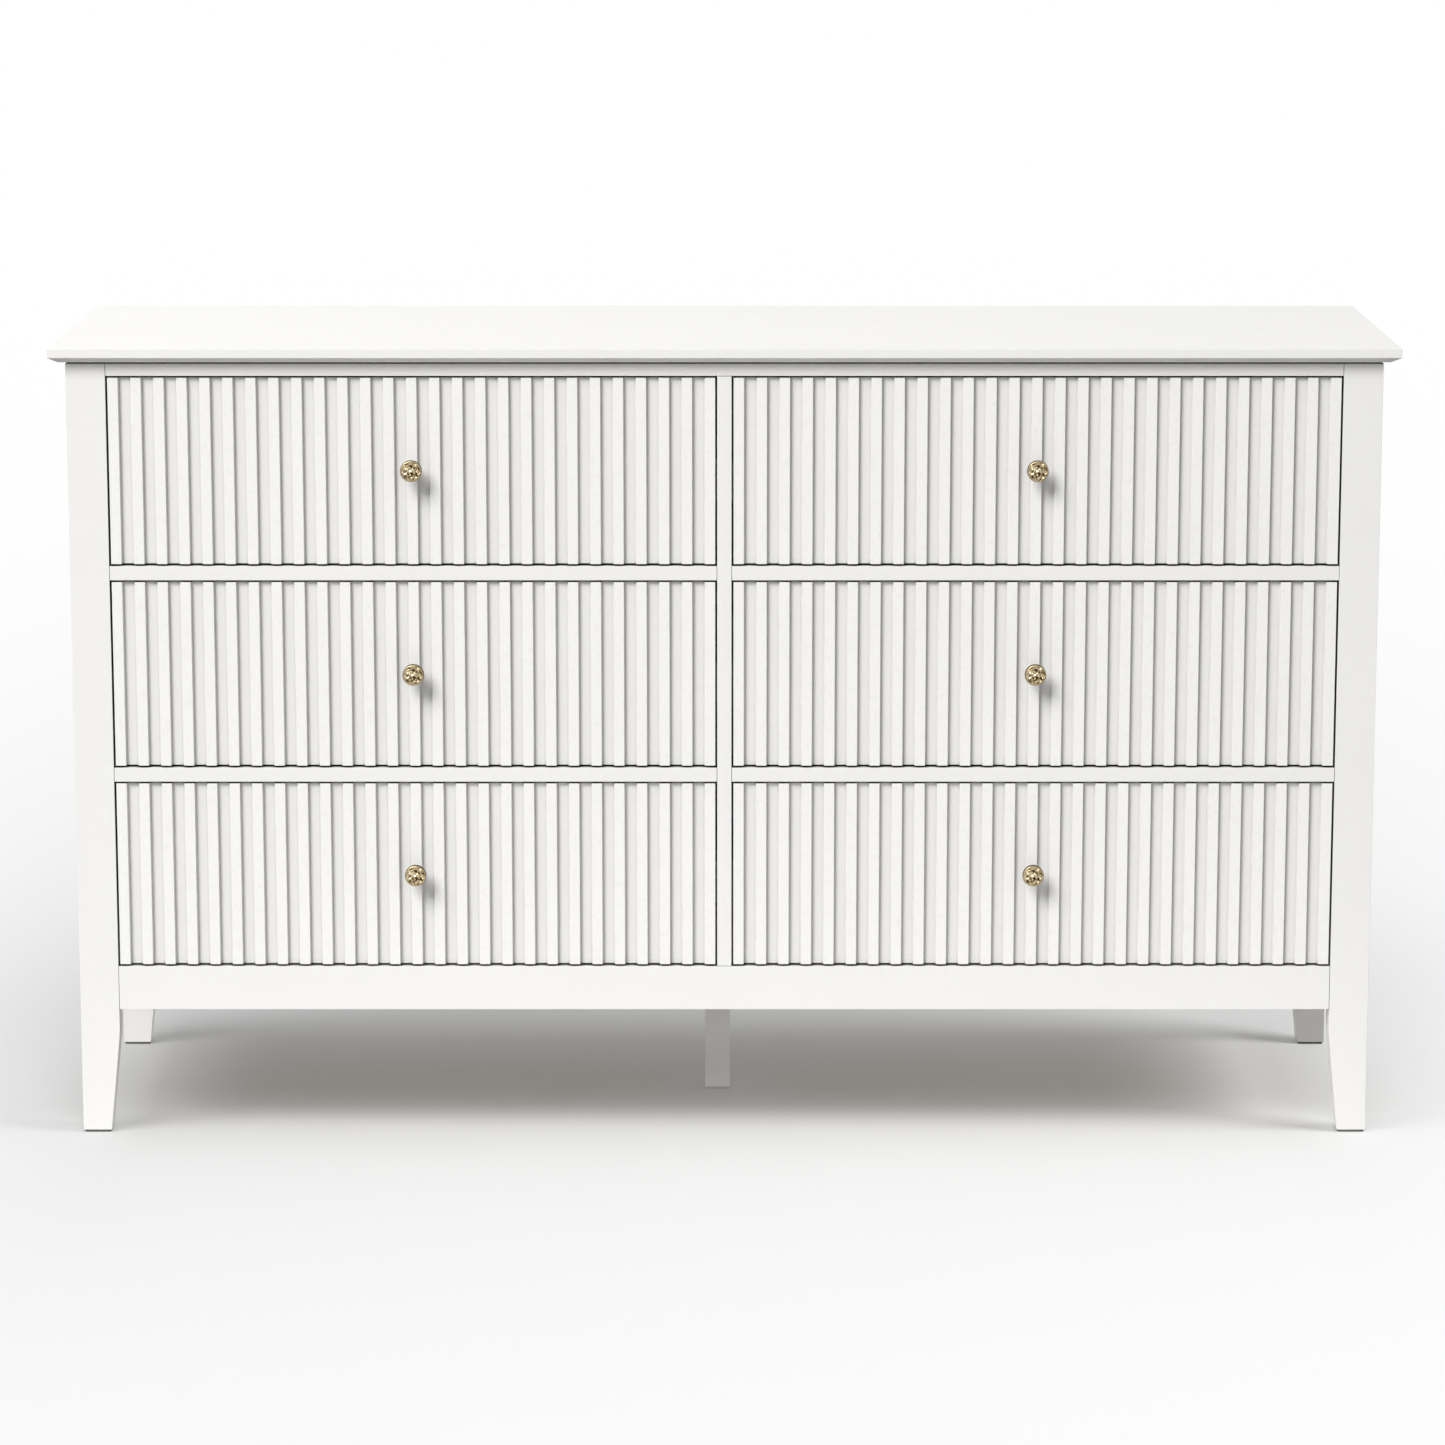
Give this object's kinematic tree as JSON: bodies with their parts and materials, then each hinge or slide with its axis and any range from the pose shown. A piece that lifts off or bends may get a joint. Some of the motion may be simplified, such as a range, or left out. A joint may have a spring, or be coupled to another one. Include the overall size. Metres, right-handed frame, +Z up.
{
  "type": "dresser with drawers",
  "caption": "Low, wide dresser with fluted drawer fronts, round metal knobs, an overhanging top and tapered legs; each drawer slides out.",
  "frame": {"origin": "on the floor under the middle of the overall box, which runs from the knobs' faces to the back of the top panel", "axes": "+Z up; +X to the right for someone facing the drawers; +Y from the drawer fronts to the back"},
  "size_m": [1.4, 0.407, 0.842],
  "materials": {
    "white_paint": "satin warm-white paint on wood",
    "birch": "clear-lacquered pale wood with fine straight grain",
    "plywood": "thin plywood, lightly sealed",
    "hardboard": "hardboard with a matt off-white face",
    "steel": "zinc-plated pressed steel",
    "brass": "hammered, antiqued brass with a darker rim",
    "nylon": "moulded nylon, matt dark grey"
  },
  "bodies": {
    "carcass": {"top_panel": "white_paint", "front_left_leg": "white_paint", "back_left_leg": "white_paint", "front_right_leg": "white_paint", "back_right_leg": "white_paint", "front_left_glide": "nylon", "back_left_glide": "nylon", "front_right_glide": "nylon", "back_right_glide": "nylon", "left_side_panel": "white_paint", "right_side_panel": "white_paint", "centre_partition": "white_paint", "front_top_rail": "white_paint", "front_apron": "white_paint", "centre_stile": "white_paint", "left_lower_divider_rail": "white_paint", "left_upper_divider_rail": "white_paint", "right_lower_divider_rail": "white_paint", "right_upper_divider_rail": "white_paint", "back_top_rail": "white_paint", "back_bottom_rail": "white_paint", "back_panel": "hardboard", "floor_stretcher": "white_paint", "middle_support_leg": "white_paint", "left_bottom_left_slide": "steel", "left_bottom_right_slide": "steel", "left_middle_left_slide": "steel", "left_middle_right_slide": "steel", "left_top_left_slide": "steel", "left_top_right_slide": "steel", "right_bottom_left_slide": "steel", "right_bottom_right_slide": "steel", "right_middle_left_slide": "steel", "right_middle_right_slide": "steel", "right_top_left_slide": "steel", "right_top_right_slide": "steel"},
    "left_bottom_drawer": {"left_bottom_drawer_front": "white_paint", "left_bottom_drawer_box": "birch", "left_bottom_drawer_bottom": "plywood", "left_bottom_drawer_knob": "brass"},
    "left_middle_drawer": {"left_middle_drawer_front": "white_paint", "left_middle_drawer_box": "birch", "left_middle_drawer_bottom": "plywood", "left_middle_drawer_knob": "brass"},
    "left_top_drawer": {"left_top_drawer_front": "white_paint", "left_top_drawer_box": "birch", "left_top_drawer_bottom": "plywood", "left_top_drawer_knob": "brass"},
    "right_bottom_drawer": {"right_bottom_drawer_front": "white_paint", "right_bottom_drawer_box": "birch", "right_bottom_drawer_bottom": "plywood", "right_bottom_drawer_knob": "brass"},
    "right_middle_drawer": {"right_middle_drawer_front": "white_paint", "right_middle_drawer_box": "birch", "right_middle_drawer_bottom": "plywood", "right_middle_drawer_knob": "brass"},
    "right_top_drawer": {"right_top_drawer_front": "white_paint", "right_top_drawer_box": "birch", "right_top_drawer_bottom": "plywood", "right_top_drawer_knob": "brass"}
  },
  "joints": [
    {"name": "left_bottom_drawer_slide", "type": "slide", "parent": "carcass", "child": "left_bottom_drawer", "axis": [0, -1, 0], "range_m": [0, 0.26]},
    {"name": "left_middle_drawer_slide", "type": "slide", "parent": "carcass", "child": "left_middle_drawer", "axis": [0, -1, 0], "range_m": [0, 0.26]},
    {"name": "left_top_drawer_slide", "type": "slide", "parent": "carcass", "child": "left_top_drawer", "axis": [0, -1, 0], "range_m": [0, 0.26]},
    {"name": "right_bottom_drawer_slide", "type": "slide", "parent": "carcass", "child": "right_bottom_drawer", "axis": [0, -1, 0], "range_m": [0, 0.26]},
    {"name": "right_middle_drawer_slide", "type": "slide", "parent": "carcass", "child": "right_middle_drawer", "axis": [0, -1, 0], "range_m": [0, 0.26]},
    {"name": "right_top_drawer_slide", "type": "slide", "parent": "carcass", "child": "right_top_drawer", "axis": [0, -1, 0], "range_m": [0, 0.26]}
  ]
}
